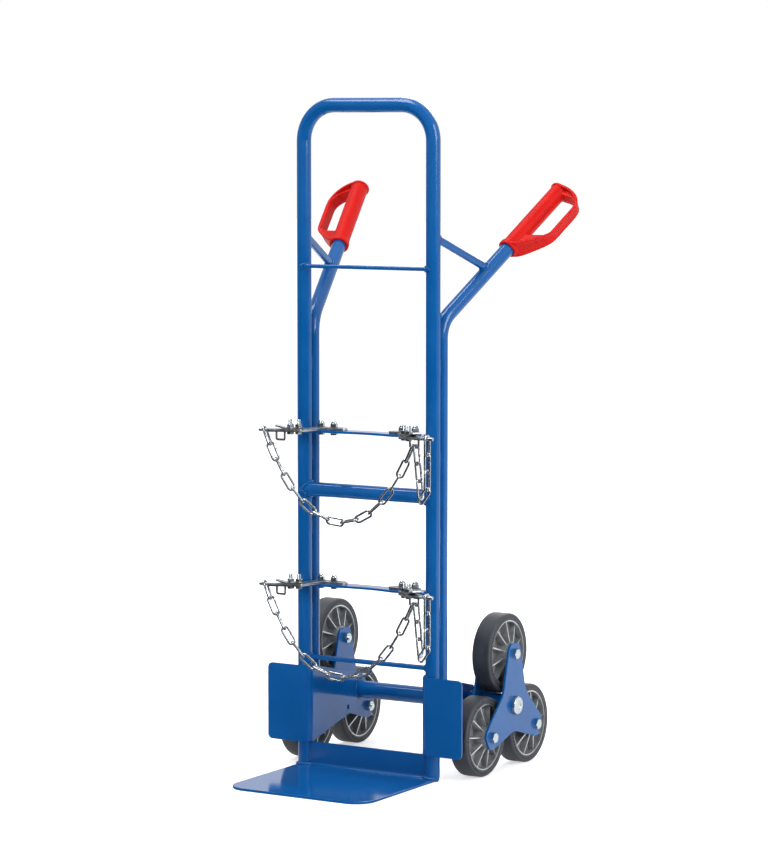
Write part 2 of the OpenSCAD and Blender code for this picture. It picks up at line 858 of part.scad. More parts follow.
// An even link stands edge on and holds its odd neighbours at the bends of their ends
function is_edge(i) = i % 2 == 0;
function span(i, n, first, last) =
  !is_edge(i) ? link_straight :
  i == 0 ? 2 * link_half - first + link_slack :
  i == n - 1 ? 2 * link_half - last + link_slack : 2 * (link_half + link_slack);
function middle(i, n, first, last) =
  i == 0 ? link_half - first : i == n - 1 ? link_half + link_slack : span(i, n, first, last) / 2;

module link() {
  both_sides() translate([link_r, 0, 0]) cylinder(h = link_straight, d = wire_d, center = true);
  for (end = [0, 1]) mirror([0, 0, end]) translate([0, 0, link_straight / 2]) rotate([90, 0, 0])
    rotate_extrude(angle = 180) translate([link_r, 0]) circle(d = wire_d);
}

// Links along the points, which lie in the upright plane through start and goal
module links(start, goal, points, first, last, twist) {
  n = len(points) - 1;
  color(zinc) translate(start) rotate([0, 0, atan2(goal[1] - start[1], goal[0] - start[0])])
    for (i = [0 : n - 1]) {
      d = (points[i + 1] - points[i]) / norm(points[i + 1] - points[i]);
      c = points[i] + middle(i, n, first, last) * d;
      translate([c[0], 0, c[1]]) rotate([0, atan2(d[0], d[1]), 0])
        rotate([0, 0, (is_edge(i) ? 90 : 0) + twist * sin(360 * (i + 0.5) / n)]) link();
    }
}

// A link that hangs aslant on its pin or staple needs more room there
function lean_from(p, q) = atan2(abs(q[0] - p[0]), abs(q[1] - p[1]));

// The long run goes from the left pin to the right staple
module chain(z) {
  n = run_links;
  start = [-pin_at[0], pin_at[1], z + pin_at[2]];
  goal = [staple_xy[0] - staple_share, staple_xy[1], z + staple_at_z];
  h = norm([goal[0] - start[0], goal[1] - start[1]]);
  v = goal[2] - start[2];
  near = [for (i = [0 : n - 1]) span(i, n, hang_pin, hang_staple)];
  near_len = total(near, n);
  first = hang_pin / cos(lean_from([0, 0], hanging(h, v, near_len, near[0])));
  last = hang_staple / cos(lean_from([h, v], hanging(h, v, near_len, near_len - near[n - 1])));
  spans = [for (i = [0 : n - 1]) span(i, n, first, last)];
  length = total(spans, n) * chain_ease;
  points = [for (i = [0 : n]) hanging(h, v, length, total(spans, i) * chain_ease)];
  links(start, goal, points, first, last, -run_twist);
}

// The tail goes down from the staple in three links, across in one and up to the pin in three
module chain_tail(z) {
  n = tail_links;
  start = [staple_xy[0] + staple_share, staple_xy[1], z + staple_at_z];
  goal = [pin_at[0], pin_at[1], z + pin_at[2]];
  spans = [for (i = [0 : n - 1]) span(i, n, hang_staple, hang_pin)];
  h = norm([goal[0] - start[0], goal[1] - start[1]]);
  down = total(spans, 3);
  up = total(spans, 7) - total(spans, 4);
  turn = [h, goal[2] - start[2] - up];
  reach = norm(turn);
  bend = acos((down * down + reach * reach - spans[3] * spans[3]) / (2 * down * reach));
  slope = atan2(turn[1], turn[0]) - bend;
  points = concat(
    [for (i = [0 : 3]) total(spans, i) * [cos(slope), sin(slope)]],
    [for (i = [4 : 7]) [h, turn[1] + total(spans, i) - total(spans, 4)]]
  );
  links(start, goal, points, hang_staple, hang_pin, 0);
}

on_frame() frame_tube();
on_frame() on_left() handle_tube();  // handle_tube_left
on_frame() handle_tube();  // handle_tube_right
on_frame() on_left() handle_brace();  // handle_brace_left
on_frame() handle_brace();  // handle_brace_right
on_frame() upper_cross_rod();
on_frame() middle_cross_tube();
on_frame() lower_cross_rod();
on_frame() axle_tube();
on_frame() on_left() axle_bracket();  // axle_bracket_left
on_frame() axle_bracket();  // axle_bracket_right
on_frame() toe_plate();
on_frame() rest(upper_rest_z);  // upper_rest
on_frame() rest(lower_rest_z);  // lower_rest
on_frame() on_left() grip();  // grip_left
on_frame() grip();  // grip_right
on_frame() on_left() arm(arm_z[0]);  // upper_arm_left
on_frame() arm(arm_z[0]);  // upper_arm_right
on_frame() on_left() arm(arm_z[1]);  // lower_arm_left
on_frame() arm(arm_z[1]);  // lower_arm_right
on_frame() clamps(arm_z[0]);  // upper_chain_clamps
on_frame() clamps(arm_z[1]);  // lower_chain_clamps
on_frame() rest_bolts();
on_frame() clamp_bolts();
on_frame() axle();
on_frame() axle_caps();
on_frame() on_left() star_outer_plate();  // star_outer_plate_left
on_frame() on_left() star_inner_plate();  // star_inner_plate_left
on_frame() on_left() star_hub();  // star_hub_left
on_frame() on_left() star_bushes();  // star_bushes_left
on_frame() on_left() wheel_bolts();  // wheel_bolts_left
on_frame() star_outer_plate();  // star_outer_plate_right
on_frame() star_inner_plate();  // star_inner_plate_right
on_frame() star_hub();  // star_hub_right
on_frame() star_bushes();  // star_bushes_right
on_frame() wheel_bolts();  // wheel_bolts_right
on_frame() on_left() tyre(wheel_angles[0]);  // tyre_left_top
on_frame() on_left() rim(wheel_angles[0]);  // rim_left_top
on_frame() on_left() bush(wheel_angles[0]);  // bush_left_top
on_frame() on_left() tyre(wheel_angles[1]);  // tyre_left_front
on_frame() on_left() rim(wheel_angles[1]);  // rim_left_front
on_frame() on_left() bush(wheel_angles[1]);  // bush_left_front
on_frame() on_left() tyre(wheel_angles[2]);  // tyre_left_rear
on_frame() on_left() rim(wheel_angles[2]);  // rim_left_rear
on_frame() on_left() bush(wheel_angles[2]);  // bush_left_rear
on_frame() tyre(wheel_angles[0]);  // tyre_right_top
on_frame() rim(wheel_angles[0]);  // rim_right_top
on_frame() bush(wheel_angles[0]);  // bush_right_top
on_frame() tyre(wheel_angles[1]);  // tyre_right_front
on_frame() rim(wheel_angles[1]);  // rim_right_front
on_frame() bush(wheel_angles[1]);  // bush_right_front
on_frame() tyre(wheel_angles[2]);  // tyre_right_rear
on_frame() rim(wheel_angles[2]);  // rim_right_rear
on_frame() bush(wheel_angles[2]);  // bush_right_rear
on_frame() chain(arm_z[0]);  // upper_chain
on_frame() chain(arm_z[1]);  // lower_chain
on_frame() chain_tail(arm_z[0]);  // upper_chain_tail
on_frame() chain_tail(arm_z[1]);  // lower_chain_tail
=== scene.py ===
# %% [markdown]
# # Gas cylinder trolley
#
# This lesson dresses a trolley for one gas cylinder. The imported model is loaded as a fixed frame: its pieces
# already have their sizes, places and joints. Here they get their finishes, and the pieces whose look depends on
# soft edges, rubber, castings, chain wire or weld beads are modelled again on top of them.

# %% Load the frame
import json
import math

import bmesh
import bpy
import numpy as np
from mathutils import Matrix, Vector


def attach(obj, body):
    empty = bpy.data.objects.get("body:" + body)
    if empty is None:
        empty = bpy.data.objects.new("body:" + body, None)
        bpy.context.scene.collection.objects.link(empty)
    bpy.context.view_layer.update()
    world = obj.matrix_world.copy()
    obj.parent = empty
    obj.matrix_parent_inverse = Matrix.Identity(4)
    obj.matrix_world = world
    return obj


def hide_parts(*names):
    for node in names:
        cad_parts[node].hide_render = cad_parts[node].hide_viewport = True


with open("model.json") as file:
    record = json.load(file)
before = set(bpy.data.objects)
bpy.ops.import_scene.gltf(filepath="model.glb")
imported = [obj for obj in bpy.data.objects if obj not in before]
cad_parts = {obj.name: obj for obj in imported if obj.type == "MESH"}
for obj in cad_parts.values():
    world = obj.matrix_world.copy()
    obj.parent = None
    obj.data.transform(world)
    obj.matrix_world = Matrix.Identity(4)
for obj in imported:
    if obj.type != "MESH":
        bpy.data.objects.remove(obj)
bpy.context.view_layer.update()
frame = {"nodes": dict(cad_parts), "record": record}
nodes = frame["nodes"]
record = frame["record"]
body_of = {node: body for body, members in record["behaviour"]["bodies"].items() for node in members}
slot_of = {part["node"]: part["material_slot"] for part in record["subparts"]}
MM = 0.001

# %% [markdown]
# ## The camera
#
# The photograph was taken from the trolley's front right, from about chest height and far away with a long lens.
# The numbers come from fitting the uprights, the wheels and the toe plate to their places in the picture. A small
# tilt down does the framing, so the lens needs no shift and every other view stays centred too.

# %% Camera
PHOTO_SIZE = (768, 848)
FOCAL_PIXELS = 3313.6
SENSOR = 36.0
CAMERA_AT = (3.4107, -5.4330, 1.3099)
CAMERA_AZIMUTH = 31.194
CAMERA_TILT = 5.326

bpy.ops.object.camera_add(
    location=CAMERA_AT,
    rotation=(math.radians(90 - CAMERA_TILT), 0, math.radians(CAMERA_AZIMUTH)),
)
camera = bpy.context.object
camera.data.sensor_width = SENSOR
camera.data.lens = FOCAL_PIXELS * SENSOR / max(PHOTO_SIZE)
camera.data.clip_end = 200
bpy.context.scene.camera = camera
print("camera lens", round(camera.data.lens, 1), "mm")

# %% [markdown]
# ## Colours and nodes
#
# Colours are written as they look on a screen, as hex values, and one function turns them into the linear values
# that the shader works with. One more function adds a node with its settings and links, so that each material
# below reads as a short recipe. Every pattern reads the object's own coordinates, in metres, so its scale can be
# given as a real size in millimetres.

# %% Helpers for materials
def colour(hex_value):
    """Linear RGBA of an sRGB hex colour."""
    parts = [int(hex_value[i:i + 2], 16) / 255 for i in (1, 3, 5)]
    linear = [c / 12.92 if c <= 0.04045 else ((c + 0.055) / 1.055) ** 2.4 for c in parts]
    return (*linear, 1.0)


def add(tree, kind, inputs=None, **settings):
    """Adds a node, sets its properties, and fills its inputs with values or links."""
    node = tree.nodes.new(kind)
    for name, value in settings.items():
        setattr(node, name, value)
    for name, value in (inputs or {}).items():
        if isinstance(value, bpy.types.NodeSocket):
            tree.links.new(value, node.inputs[name])
        else:
            node.inputs[name].default_value = value
    return node


def per_metre(millimetres):
    """Scale of a pattern that repeats about every so many millimetres."""
    return 1000 / millimetres


def surface(name, tones, patch, roughness, grain, bump, metallic=0.0, ior=None, rim=None, gloss=None):
    """A finish of two tones in soft patches, with a range of roughness and a fine grain in relief.

    patch and grain are sizes in millimetres, bump is the height of the grain in millimetres. rim is the tone of a
    metal where it is seen edge on, and gloss is the level of the reflection of a plastic.
    """
    material = bpy.data.materials.new(name)
    material.use_nodes = True
    tree = material.node_tree
    shader = tree.nodes["Principled BSDF"]
    place = add(tree, "ShaderNodeTexCoord").outputs["Object"]
    drift = add(tree, "ShaderNodeTexNoise", {"Vector": place, "Scale": per_metre(patch), "Detail": 4.0})
    spread = add(tree, "ShaderNodeMapRange", {"Value": drift.outputs["Fac"], "From Min": 0.3, "From Max": 0.7})
    tone = add(tree, "ShaderNodeMix", {"Factor": spread.outputs["Result"], "A": colour(tones[0]),
                                       "B": colour(tones[1])}, data_type="RGBA")
    dull = add(tree, "ShaderNodeMapRange", {"Value": spread.outputs["Result"], "To Min": roughness[0],
                                            "To Max": roughness[1]})
    fine = add(tree, "ShaderNodeTexNoise", {"Vector": place, "Scale": per_metre(grain), "Detail": 2.0})
    relief = add(tree, "ShaderNodeBump", {"Height": fine.outputs["Fac"], "Strength": 1.0, "Distance": bump * MM})
    tree.links.new(tone.outputs["Result"], shader.inputs["Base Color"])
    tree.links.new(dull.outputs["Result"], shader.inputs["Roughness"])
    tree.links.new(relief.outputs["Normal"], shader.inputs["Normal"])
    shader.inputs["Metallic"].default_value = metallic
    if ior:
        shader.inputs["IOR"].default_value = ior
    if gloss:
        shader.inputs["Specular IOR Level"].default_value = gloss
    if rim:
        shader.inputs["Specular Tint"].default_value = colour(rim)
    return material


# %% [markdown]
# ## Finishes
#
# Each finish starts from the real material. They share one recipe, two tones in soft patches, a range of
# roughness and a fine grain in relief, because that is what tells powder coat, moulded plastic, rubber, castings
# and zinc apart at this distance: how large the patches are, how dull they get, and how coarse the grain is.

# %% Powder coat, plastic and rubber
# Polyester powder coat: a thick film baked on, glossy, broken by a fine orange peel
powder_coat = surface("blue_powder_coat", ("#075395", "#0c599d"), 70, (0.08, 0.14), 4.5, 0.007, ior=1.5, gloss=0.38)
# Moulded vinyl: an even red with a satin skin from the mould
red_vinyl = surface("red_moulded_vinyl", ("#c2100b", "#cc150e"), 35, (0.42, 0.5), 3.0, 0.004, ior=1.5, gloss=0.15)
# Solid rubber: dark bluish grey, dull, with a faint bloom in patches
rubber = surface("grey_solid_rubber", ("#2a2d35", "#3a3e46"), 28, (0.5, 0.66), 0.9, 0.03, ior=1.52)

# %% Castings, zinc and bronze
# Cast aluminium: the skin of the casting is dull and grainy, and its faces are turned bright. The darker skin tone in
# the pockets is partly painted shade.
cast_skin_and_shade = surface("cast_aluminium_skin_and_pocket_shade", ("#7f8386", "#9da0a3"), 12, (0.45, 0.6), 1.2, 0.08, metallic=0.4)
cast_face = surface("turned_aluminium", ("#b0b3b6", "#c9cbcd"), 9, (0.28, 0.4), 0.7, 0.012, metallic=0.9)
# Zinc plated strap: cloudy grey patches left by the bath
zinc_strap = surface("zinc_plated_strap", ("#9ea2a6", "#cacdd0"), 9, (0.26, 0.42), 1.4, 0.02, metallic=1.0,
                     rim="#a3a6a9")
# Bright zinc: a clean bluish plate on bolts, nuts and caps
bright_zinc = surface("bright_zinc_plate", ("#bcc5c8", "#d0d7d9"), 7, (0.16, 0.28), 0.8, 0.008, metallic=1.0,
                      rim="#7d8488")
# Zinc plated wire: drawn, bent and tumbled, so it is bright with small dull spots. Its dark tone where it is seen
# edge on is painted shade along the edges of each link.
zinc_wire = surface("zinc_plated_wire", ("#a8adb1", "#dde1e3"), 4, (0.14, 0.3), 0.9, 0.012, metallic=1.0,
                    rim="#474b4e")
# Sintered bronze of the plain bearings, turned on their ends
bronze = surface("sintered_bronze", ("#8f6a36", "#b48c50"), 5, (0.32, 0.45), 0.6, 0.01, metallic=1.0)

finishes = {
    "blue_paint": powder_coat, "grip_red": red_vinyl, "tyre_grey": rubber, "rim_grey": cast_skin_and_shade,
    "bush_bronze": bronze, "galvanised": zinc_strap, "bright_zinc": bright_zinc, "chain_zinc": zinc_wire,
}
for node, slot in slot_of.items():
    nodes[node].data.materials.clear()
    nodes[node].data.materials.append(finishes[slot])
print("finishes on", len(slot_of), "nodes")

# %% [markdown]
# ## Tools for the shapes
#
# These few functions stand for what a modeller does by hand: select one object, select points by their place,
# add a modifier and apply it, and hand the finished piece to the body that carries it.

# %% Helpers for shapes
SHARP_ANGLE, SMOOTH_ANGLE, FACET_ANGLE = (math.radians(angle) for angle in (30, 40, 25))
DOUBLED = 0.002 * MM
NEAR = 0.01


def only(obj):
    """Selects one object alone and makes it the active one."""
    bpy.ops.object.select_all(action="DESELECT")
    obj.select_set(True)
    bpy.context.view_layer.objects.active = obj
    return obj


def pick(kind, test):
    """In edit mode, selects only the vertices, edges or faces whose middle passes the test."""
    bpy.ops.mesh.select_mode(type=kind)
    bpy.ops.mesh.select_all(action="DESELECT")
    edit = bmesh.from_edit_mesh(bpy.context.object.data)
    for item in {"VERT": edit.verts, "EDGE": edit.edges, "FACE": edit.faces}[kind]:
        corners = [item] if kind == "VERT" else item.verts
        if test(sum((v.co for v in corners), Vector()) / len(corners)):
            item.select_set(True)
    edit.select_flush_mode()
    bmesh.update_edit_mesh(bpy.context.object.data)


def apply_modifier(obj, kind, **settings):
    """Adds a modifier with its settings and applies it at once."""
    only(obj)
    modifier = obj.modifiers.new(kind.lower(), kind)
    for name, value in settings.items():
        setattr(modifier, name, value)
    bpy.ops.object.modifier_apply(modifier=modifier.name)


def set_place(obj):
    """Moves the object's place, turn and size into its mesh."""
    only(obj)
    bpy.ops.object.transform_apply(location=True, rotation=True, scale=True)


def close_up(obj):
    """Merges doubled points and turns all faces outwards."""
    only(obj)
    bpy.ops.object.mode_set(mode="EDIT")
    bpy.ops.mesh.select_all(action="SELECT")
    bpy.ops.mesh.remove_doubles(threshold=DOUBLED)
    bpy.ops.mesh.normals_make_consistent(inside=False)
    bpy.ops.object.mode_set(mode="OBJECT")


def twin(obj, name):
    """A copy with its own mesh."""
    made = bpy.data.objects.new(name, obj.data.copy())
    bpy.context.scene.collection.objects.link(made)
    return made


def joined(name, parts):
    """One object of several, which keep their places."""
    bpy.ops.object.select_all(action="DESELECT")
    for part in parts:
        part.select_set(True)
    bpy.context.view_layer.objects.active = parts[0]
    bpy.ops.object.join()
    parts[0].name = name
    return parts[0]


def set_out(name, pattern, places):
    """Copies of a pattern at several matrices, joined to one object."""
    row = []
    for place in places:
        made = twin(pattern, name)
        made.data.transform(place)
        row.append(made)
    bpy.data.objects.remove(pattern)
    return joined(name, row)


def fit(obj, body, slot, *replaced):
    """Gives a finished piece the finish of its slot if it has none, hangs it on its body, and hides the nodes that it
    stands for.
    """
    if not obj.data.materials:
        obj.data.materials.append(finishes[slot])
    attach(obj, body)
    if replaced:
        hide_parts(*replaced)


def merged_copy(node, name):
    """A copy of a node's mesh with its points merged and its flat faces whole."""
    made = twin(nodes[node], name)
    only(made)
    bpy.ops.mesh.customdata_custom_splitnormals_clear()
    bpy.ops.object.mode_set(mode="EDIT")
    bpy.ops.mesh.select_all(action="SELECT")
    bpy.ops.mesh.remove_doubles(threshold=DOUBLED)
    bpy.ops.mesh.dissolve_limited(angle_limit=math.radians(0.5))
    bpy.ops.object.mode_set(mode="OBJECT")
    return made


def soften(obj, width, keep=None):
    """Rounds the sharp edges by a width in millimetres, but for those whose middle passes the test keep."""
    only(obj)
    bpy.ops.object.mode_set(mode="EDIT")
    bpy.ops.mesh.select_mode(type="EDGE")
    bpy.ops.mesh.select_all(action="DESELECT")
    bpy.ops.mesh.edges_select_sharp(sharpness=SHARP_ANGLE)
    if keep:
        edit = bmesh.from_edit_mesh(obj.data)
        for edge in edit.edges:
            if edge.select and keep((edge.verts[0].co + edge.verts[1].co) / 2):
                edge.select_set(False)
        bmesh.update_edit_mesh(obj.data)
    bpy.ops.mesh.bevel(offset=width * MM, segments=2, affect="EDGES", clamp_overlap=False)
    bpy.ops.object.mode_set(mode="OBJECT")
    bpy.ops.object.shade_smooth_by_angle(angle=SMOOTH_ANGLE)
    apply_modifier(obj, "WEIGHTED_NORMAL", keep_sharp=True)


# %% [markdown]
# ## Plates with worn-round edges
#
# The toe plate, the brackets, the star plates, the rests and the straps are cut or pressed steel.
# No such edge is truly sharp: the shears and the tumbling leave it round by half a millimetre, and that thin
# round is what catches the light along each edge. The shapes are already right, so a copy of each node is merged
# and bevelled, which is quicker and truer than drawing them again. The toe plate's notches for the uprights stay
# sharp, because the tubes and their welds fill them.

# %% Plates
EDGE_ROUNDS = {
    "toe_plate": 0.9, "axle_bracket_left": 0.8, "axle_bracket_right": 0.8, "upper_rest": 0.7, "lower_rest": 0.7,
    "upper_arm_left": 0.6, "upper_arm_right": 0.6, "lower_arm_left": 0.6, "lower_arm_right": 0.6,
    "upper_chain_clamps": 0.5, "lower_chain_clamps": 0.5,
    "star_outer_plate_left": 0.8, "star_inner_plate_left": 0.8,
    "star_outer_plate_right": 0.8, "star_inner_plate_right": 0.8,
}
NOTCH_Y, NOTCH_X, NOTCH_R = 139, 149, 18


def in_notch(p):
    """Whether a point of the toe plate is at the notch of an upright."""
    return math.hypot(abs(p.x) - NOTCH_X * MM, p.y - NOTCH_Y * MM) < NOTCH_R * MM


for node, width in EDGE_ROUNDS.items():
    plate = merged_copy(node, node + "_rounded")
    soften(plate, width, in_notch if node == "toe_plate" else None)
    fit(plate, body_of[node], slot_of[node], node)
    print(plate.name, len(plate.data.polygons), "faces")

# %% [markdown]
# ## Grips
#
# Each grip is one vinyl moulding: a sleeve with a rim at both ends, and a guard for the knuckles whose outside is a
# broad strap. The strap leaves the lower rim as wide as the sleeve, narrows on its way out, runs along the knuckles
# and comes back over the closed end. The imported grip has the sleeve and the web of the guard. The strap is a grid
# whose rows are laid along a path, smoothed, and given thickness, with thicker edges. A mould leaves no sharp inside
# corners, so a fine voxel remesh joins strap and grip, and a few rounds of smoothing let them flow into each other.

# %% Strap of the guard
BORE_R, BORE_DEPTH, BORE_OPEN = 14.8, 172, 10
STRAP_T, STRAP_THIN = 6.0, 0.7
# Along the sleeve, out from its axis, half the width
STRAP_PATH = (
    (4.5, 2, 19.6), (5.5, 12, 19.4), (12, 21.5, 18.6), (22, 30.5, 17.4), (34, 40, 16.2), (46, 49, 15.0),
    (58, 57, 13.8), (68, 61.5, 12.9), (80, 63, 12.3), (100, 63, 12.1), (120, 63, 12.1), (138, 63, 12.2),
    (152, 62, 12.6), (164, 59.5, 13.3), (174, 53, 14.4), (181.5, 43.5, 15.8), (186.5, 32, 17.4), (189, 19, 18.8),
    (189.4, 6, 19.4), (189.4, -8, 18.0),
)
STRAP_COLUMNS = (-1, -0.8, -0.66, 0, 0.66, 0.8, 1)

bpy.ops.object.select_all(action="DESELECT")
columns, rows = len(STRAP_COLUMNS), len(STRAP_PATH)
bpy.ops.mesh.primitive_grid_add(x_subdivisions=columns - 1, y_subdivisions=rows - 1, size=1)
strap = bpy.context.object
thick_edges = strap.vertex_groups.new(name="thick_edges")
for vertex in strap.data.vertices:
    across = STRAP_COLUMNS[round((vertex.co.x + 0.5) * (columns - 1))]
    along, out, half = STRAP_PATH[round((vertex.co.y + 0.5) * (rows - 1))]
    vertex.co = Vector((across * half, -out, along)) * MM
    thick_edges.add([vertex.index], 1.0 if abs(across) > 0.7 else 0.0, "REPLACE")
apply_modifier(strap, "SUBSURF", levels=2)
apply_modifier(strap, "SOLIDIFY", thickness=STRAP_T * MM, offset=0, vertex_group="thick_edges",
               thickness_vertex_group=STRAP_THIN)
strap.vertex_groups.clear()
close_up(strap)
bpy.ops.mesh.primitive_cylinder_add(vertices=72, radius=BORE_R * MM, depth=(BORE_DEPTH + BORE_OPEN) * MM,
                                    location=(0, 0, (BORE_DEPTH - BORE_OPEN) / 2 * MM))
bore = bpy.context.object
apply_modifier(strap, "BOOLEAN", operation="DIFFERENCE", object=bore, solver="EXACT")
bpy.data.objects.remove(bore)
print("strap of", len(strap.data.polygons), "faces")

# %% The two grips
GRIP_VOXEL = 1.05
GRIP_START, GUARD_ROLL = 232, 20
HANDLE_CORNER, HANDLE_RISE, HANDLE_SPLAY = (149, 29.2, 904), 0.6, 15.2
FRAME_Y = 139

lean, splay = math.acos(HANDLE_RISE), math.radians(HANDLE_SPLAY)
strap.data.transform(
    Matrix.Translation(Vector((HANDLE_CORNER[0], HANDLE_CORNER[1] + FRAME_Y, HANDLE_CORNER[2])) * MM)
    @ Matrix.Rotation(math.pi / 2 - splay, 4, "Z") @ Matrix.Rotation(lean, 4, "Y")
    @ Matrix.Translation((0, 0, GRIP_START * MM)) @ Matrix.Rotation(math.radians(GUARD_ROLL), 4, "Z")
)
grip = joined("grip_right_moulding", [merged_copy("grip_right", "grip"), strap])
grip.data.materials.clear()
apply_modifier(grip, "REMESH", mode="VOXEL", voxel_size=GRIP_VOXEL * MM)
apply_modifier(grip, "SMOOTH", factor=0.5, iterations=4)
bpy.ops.object.shade_smooth()
mirrored = twin(grip, "grip_left_moulding")
mirrored.data.transform(Matrix.Diagonal((-1, 1, 1, 1)))
for side, made in (("left", mirrored), ("right", grip)):
    close_up(made)
    fit(made, "frame", "grip_red", "grip_" + side)
    print(made.name, len(made.data.polygons), "faces")

# %% [markdown]
# ## Tyres
#
# The tyres are rings of solid rubber, pressed on the rims. A ring is a cross section spun round its axle: a
# rectangle as wide as the tread and as high as the rubber, with round shoulders, a shallow moulded line in each
# side wall, and a thin lip that laps over the edge of the rim. One tyre is modelled at the origin, and its copies
# go to the six wheels.

# %% One tyre
TYRE_WIDTH, TYRE_IN, TYRE_OUT = 40, 69.9, 80
SHOULDER, WALL_LINE, LINE_AT = 5.0, 0.5, 73.2
LIP_AT, LIP_IN = 19.15, 66.3
SPIN_STEPS = 112

bpy.ops.object.select_all(action="DESELECT")
bpy.ops.mesh.primitive_plane_add(size=1, rotation=(math.radians(90), 0, 0),
                                 location=(0, 0, (TYRE_IN + TYRE_OUT) / 2 * MM))
tyre = bpy.context.object
tyre.scale = (TYRE_WIDTH * MM, (TYRE_OUT - TYRE_IN) * MM, 1)
set_place(tyre)
bpy.ops.object.mode_set(mode="EDIT")
pick("VERT", lambda p: p.z > (TYRE_OUT - 1) * MM)
bpy.ops.mesh.bevel(offset=SHOULDER * MM, segments=6, affect="VERTICES")
for side in (-1, 1):
    bpy.ops.mesh.select_all(action="SELECT")
    bpy.ops.mesh.bisect(plane_co=(side * LIP_AT * MM, 0, 0), plane_no=(1, 0, 0))
pick("EDGE", lambda p: p.z < (TYRE_IN + NEAR) * MM and abs(p.x) > LIP_AT * MM)
bpy.ops.mesh.extrude_edges_move(TRANSFORM_OT_translate={"value": (0, 0, (LIP_IN - TYRE_IN) * MM)})
bpy.ops.mesh.select_mode(type="FACE")
bpy.ops.mesh.select_all(action="SELECT")
bpy.ops.mesh.dissolve_faces()
pick("EDGE", lambda p: abs(p.x) > (TYRE_WIDTH / 2 - NEAR) * MM and p.z > TYRE_IN * MM)
bpy.ops.mesh.subdivide(number_cuts=5)
for side in (-1, 1):
    pick("VERT", lambda p: p.x * side > (TYRE_WIDTH / 2 - NEAR) * MM and abs(p.z - LINE_AT * MM) < 0.5 * MM)
    bpy.ops.transform.translate(value=(-side * WALL_LINE * MM, 0, 0))
bpy.ops.mesh.select_mode(type="FACE")
bpy.ops.mesh.select_all(action="SELECT")
bpy.ops.mesh.delete(type="ONLY_FACE")
bpy.ops.mesh.select_mode(type="EDGE")
bpy.ops.mesh.select_all(action="SELECT")
bpy.ops.mesh.spin(steps=SPIN_STEPS, angle=math.tau, center=(0, 0, 0), axis=(1, 0, 0))
bpy.ops.object.mode_set(mode="OBJECT")
close_up(tyre)
bpy.ops.object.shade_smooth_by_angle(angle=SMOOTH_ANGLE)
print("tyre of", len(tyre.data.polygons), "faces")

# %% The six tyres
AXLE_Y, AXLE_Z, STAR_RADIUS, STAR_X = 318, 132, 104, 200
WHEEL_ANGLES = {"top": 90, "front": 210, "rear": 330}


def wheel_centre(side, place):
    """Middle of a wheel at rest, in metres."""
    turn = math.radians(WHEEL_ANGLES[place])
    x = STAR_X if side == "right" else -STAR_X
    return Vector((x, AXLE_Y + STAR_RADIUS * math.cos(turn), AXLE_Z + STAR_RADIUS * math.sin(turn))) * MM


wheels = [(side, place) for side in ("left", "right") for place in WHEEL_ANGLES]
for side, place in wheels:
    made = twin(tyre, f"tyre_{side}_{place}_rubber")
    made.location = wheel_centre(side, place)
    set_place(made)
    fit(made, f"wheel_{side}_{place}", "tyre_grey", f"tyre_{side}_{place}")
bpy.data.objects.remove(tyre)
print("tyres on", len(wheels), "wheels")

# %% [markdown]
# ## Rims
#
# The rims are aluminium castings with ten ribs a side. A casting has a round in every inside corner, where the
# metal flowed, and a dull skin in its pockets. The ring, the hub and the rib edges are turned bright. The pockets get
# a darker tone, partly the cast skin and partly painted shade. The copy of each rim is bevelled, and its outward
# faces get the bright material.

# %% Rims
WEB_HALF, CAST_ROUND = 4.5, 0.7

for side, place in wheels:
    node = f"rim_{side}_{place}"
    rim = merged_copy(node, node + "_casting")
    soften(rim, CAST_ROUND)
    rim.data.materials.clear()
    rim.data.materials.append(cast_skin_and_shade)
    rim.data.materials.append(cast_face)
    middle = wheel_centre(side, place).x
    # The pockets keep the darker skin tone, which is partly painted shade, and the outward faces get the turned tone
    for face in rim.data.polygons:
        outward = abs(face.normal.x) > 0.5 and abs(face.center.x - middle) > WEB_HALF * MM
        face.material_index = 1 if outward else 0
    fit(rim, f"wheel_{side}_{place}", "rim_grey", node)
print("rims of", len(rim.data.polygons), "faces")

# %% [markdown]
# ## Chain
#
# Each link is a piece of wire bent to a long ring and butt welded on one side, where a slight swelling stays. A
# torus is a round link already: its two halves are pulled apart by the length of the straight sides, and a few
# rings of points are added on one side and swollen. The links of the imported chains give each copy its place: the
# longest, middle and shortest spread of a link's points are its length, width and thickness.

# %% One link
WIRE, LINK_RADIUS, LINK_STRAIGHT = 4.5, 6.75, 25
RINGS = 32
# Reach of the butt weld along the wire, and how much it swells
WELD_SWELLS = ((3.4, 1.05), (1.2, 1.1))

bpy.ops.object.select_all(action="DESELECT")
bpy.ops.mesh.primitive_torus_add(major_radius=LINK_RADIUS * MM, minor_radius=WIRE / 2 * MM, major_segments=RINGS,
                                 minor_segments=14, rotation=(0, 0, math.pi / RINGS))
link = bpy.context.object
set_place(link)
bpy.ops.object.mode_set(mode="EDIT")
for end in (-1, 1):
    pick("VERT", lambda p: p.y * end > 0)
    bpy.ops.transform.translate(value=(0, end * LINK_STRAIGHT / 2 * MM, 0))
pick("EDGE", lambda p: p.x > 0 and abs(p.y) < 0.1 * MM)
bpy.ops.mesh.subdivide(number_cuts=11)
for reach, swell in WELD_SWELLS:
    pick("VERT", lambda p: p.x > 0 and abs(p.y) < reach * MM)
    bpy.ops.transform.resize(value=(swell, 1, swell), center_override=(LINK_RADIUS * MM, 0, 0))
bpy.ops.object.mode_set(mode="OBJECT")
close_up(link)
bpy.ops.object.shade_smooth()
print("link of", len(link.data.polygons), "faces")


